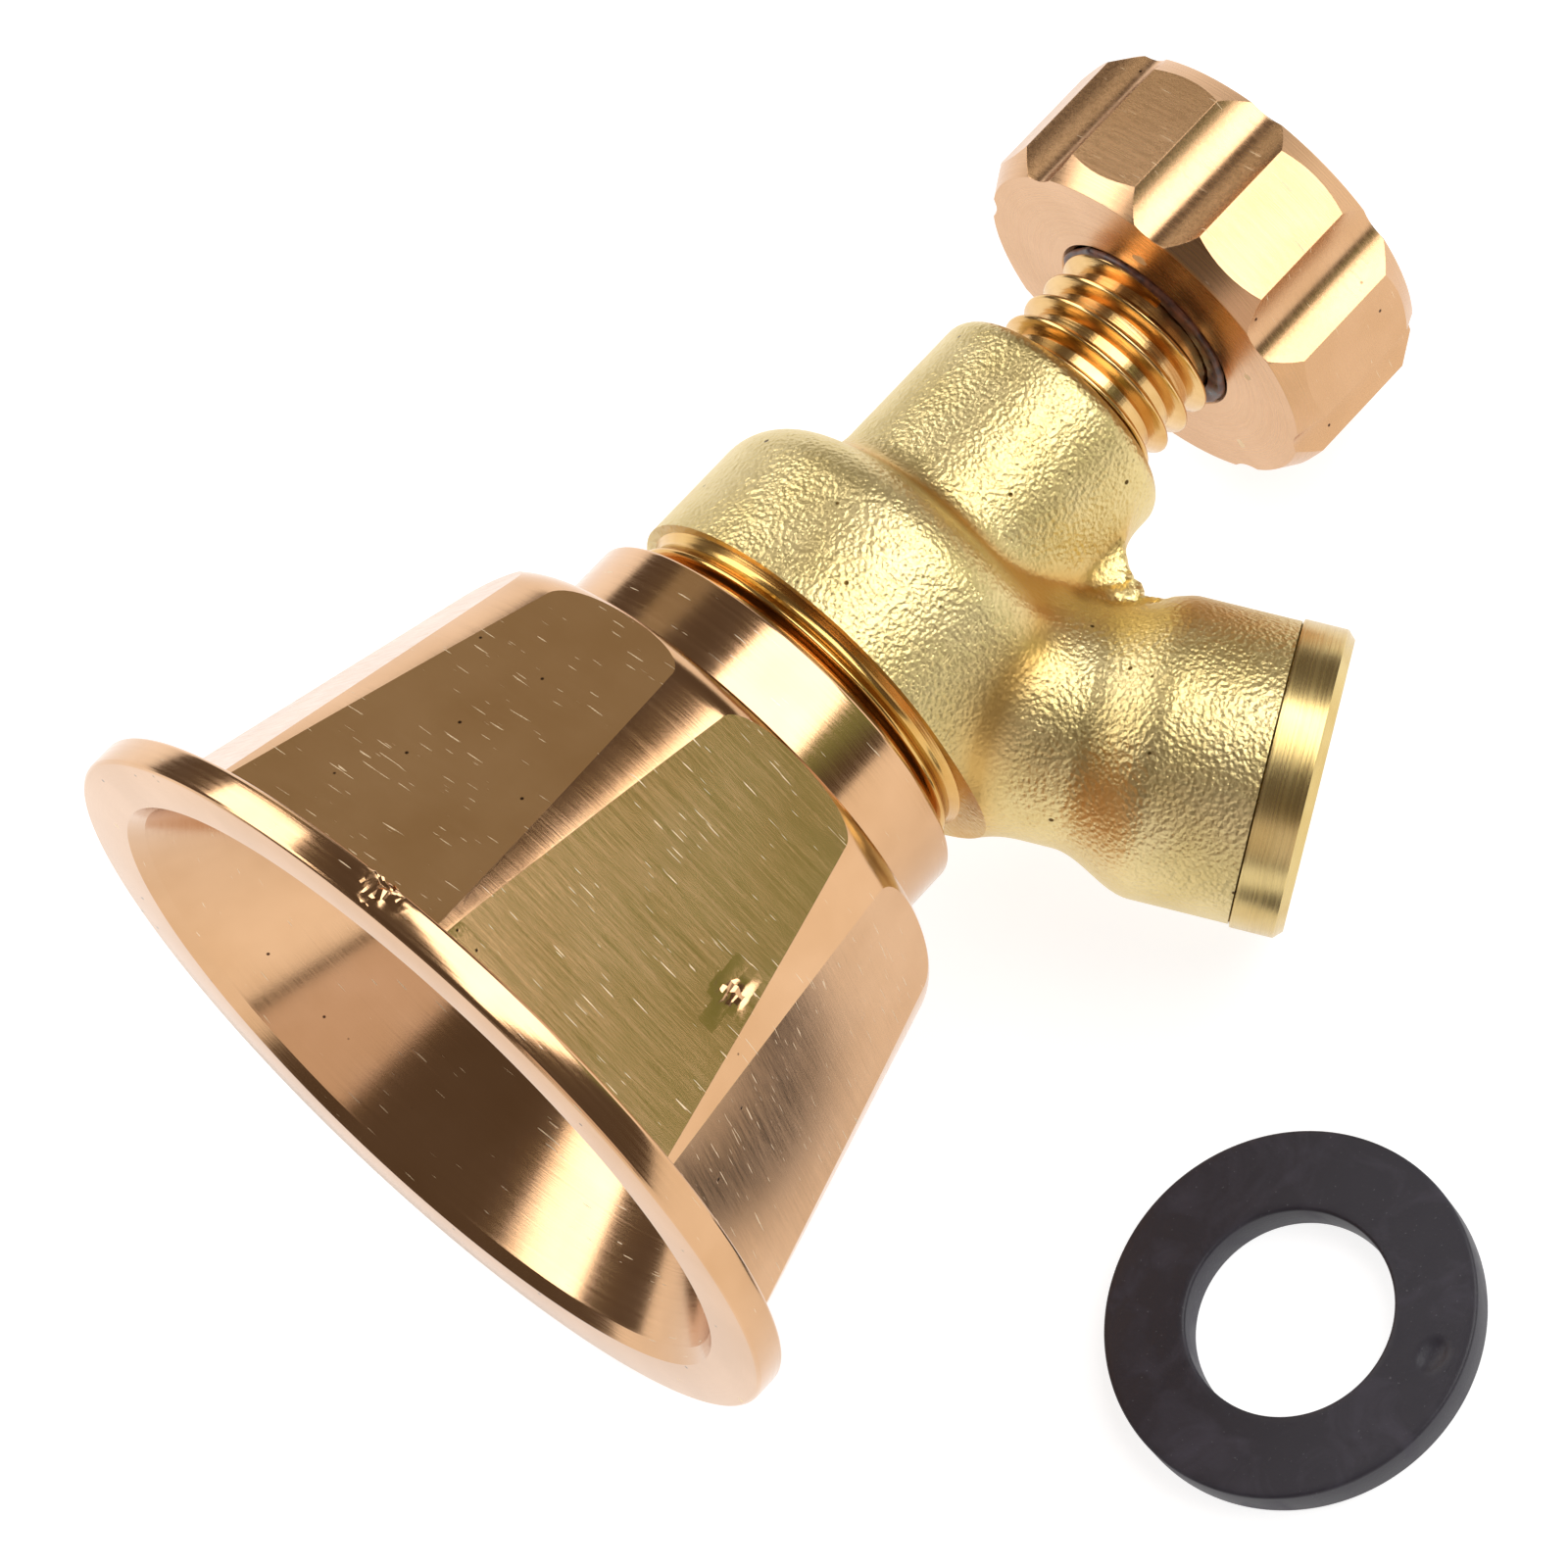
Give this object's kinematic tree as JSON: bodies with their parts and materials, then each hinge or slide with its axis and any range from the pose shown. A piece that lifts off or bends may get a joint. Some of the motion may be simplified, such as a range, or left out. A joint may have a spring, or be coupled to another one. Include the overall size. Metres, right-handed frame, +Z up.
{
  "type": "adjustable spray nozzle",
  "caption": "Brass adjustable spray nozzle with flared flatted hood, forged Y body, threaded side inlet, fluted adjusting knob and a loose rubber hood gasket.",
  "frame": {"origin": "on the surface the part rests on, under the centre of its box", "axes": "+Z up; +X the horizontal direction from the hood's mouth to the knob; the spray axis lies in the XZ direction and dips towards the knob; inlet and loose gasket on the -Y side"},
  "size_m": [0.0796, 0.0778, 0.0514],
  "materials": {
    "forged_brass": "blasted",
    "rose_brass": "turned",
    "turned_brass": "polished",
    "stainless": "turned",
    "rubber": "matte",
    "adhesive": "gloss"
  },
  "bodies": {
    "nozzle": {"body": "forged_brass", "inlet_washer": "rubber"},
    "seals": {"o_ring_front": "rubber", "o_ring_rear": "rubber"},
    "spindle": {"spindle": "turned_brass", "swirl_core": "stainless", "knob": "rose_brass", "thread_lock_bead": "adhesive"},
    "hood_seals": {"orifice_disc": "stainless", "hood_gasket": "rubber"},
    "hood": {"hood": "rose_brass"},
    "loose_gasket": {"loose_gasket": "rubber"}
  },
  "joints": [
    {"name": "spindle_travel", "type": "slide", "parent": "nozzle", "child": "seals", "axis": [0.9838, 0, -0.1794], "range_m": [-0.0035, 0.00175]},
    {"name": "knob_turn", "type": "hinge", "parent": "seals", "child": "spindle", "pos_m": [0.02388, 0.01296, 0.01482], "axis": [0.9838, 0, -0.1794], "range_deg": [-722, 362]},
    {"name": "hood_travel", "type": "slide", "parent": "nozzle", "child": "hood_seals", "axis": [-0.9838, 0, 0.1794], "range_m": [0, 0.006]},
    {"name": "hood_turn", "type": "hinge", "parent": "hood_seals", "child": "hood", "pos_m": [-0.01154, 0.01296, 0.02127], "axis": [-0.9838, 0, 0.1794], "range_deg": [-2, 1442]},
    {"name": "gasket_lift", "type": "slide", "parent": "nozzle", "child": "loose_gasket", "axis": [0, 0, 1], "range_m": [0, 0.1]}
  ],
  "couplings": [
    {"joint": "knob_turn", "follows": "spindle_travel", "rad_per_m": 3590.4},
    {"joint": "hood_turn", "follows": "hood_travel", "rad_per_m": 4188.8}
  ]
}
